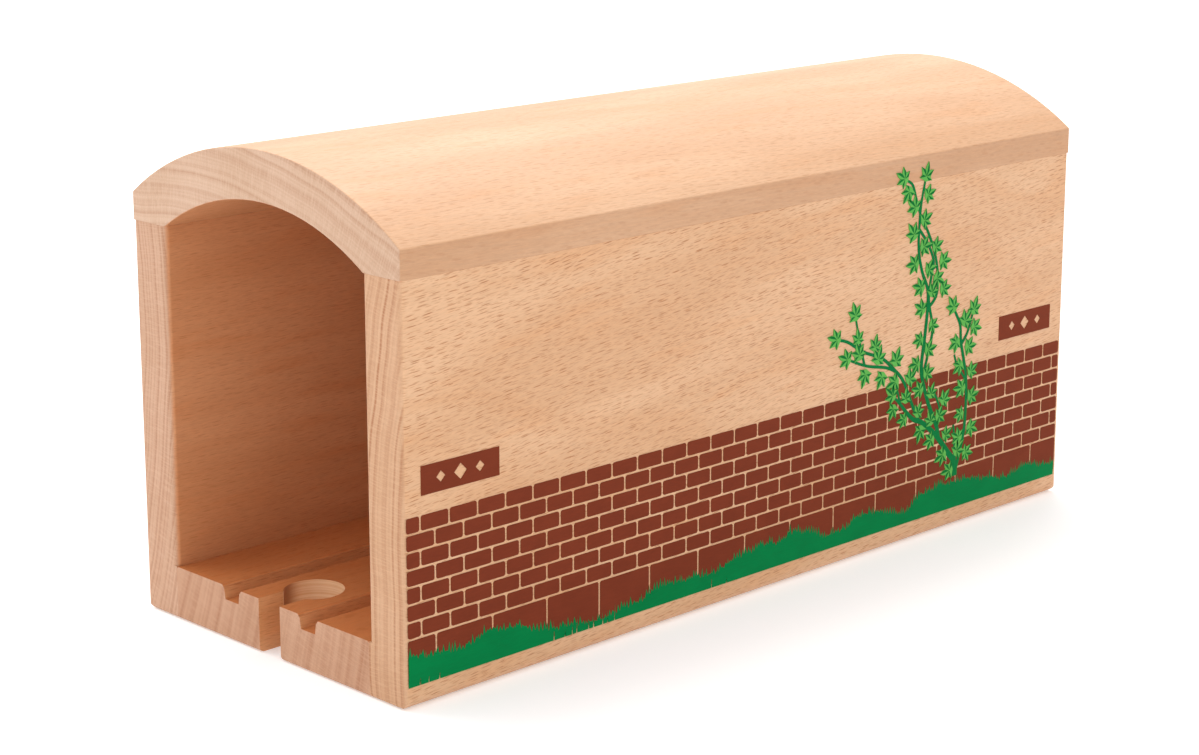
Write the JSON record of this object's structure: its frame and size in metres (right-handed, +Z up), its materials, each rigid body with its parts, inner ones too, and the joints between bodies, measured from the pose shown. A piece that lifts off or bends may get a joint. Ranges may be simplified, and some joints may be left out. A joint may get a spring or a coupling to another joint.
{
  "type": "toy railway tunnel",
  "caption": "Arched wooden tunnel for a toy railway, glued round a grooved track floor with a slotted socket and a peg, and printed with brickwork, grass and ivy on one side.",
  "frame": {"origin": "bottom centre of the whole piece, its peg included", "axes": "+X along the rails towards the peg, +Y away from the printed wall, +Z up"},
  "size_m": [0.2338, 0.0889, 0.1078],
  "materials": {
    "beech_floor": "clear satin lacquer on planed beech",
    "beech_wall": "clear satin lacquer on planed beech",
    "beech_roof": "clear satin lacquer on planed beech",
    "beech_peg": "clear satin lacquer on turned beech",
    "ink_brown": "matt screen-printed ink",
    "ink_green": "matt screen-printed ink",
    "ink_leaf": "matt screen-printed ink"
  },
  "bodies": {
    "root": {"track_floor": "beech_floor", "wall_plain": "beech_wall", "wall_printed": "beech_wall", "roof": "beech_roof", "peg_dowel": "beech_peg", "peg_head": "beech_peg", "print_bricks": "ink_brown", "print_base_blocks": "ink_brown", "print_grass": "ink_green", "print_ivy_stems": "ink_green", "print_ivy_leaves": "ink_leaf", "print_plates": "ink_brown"}
  },
  "joints": []
}
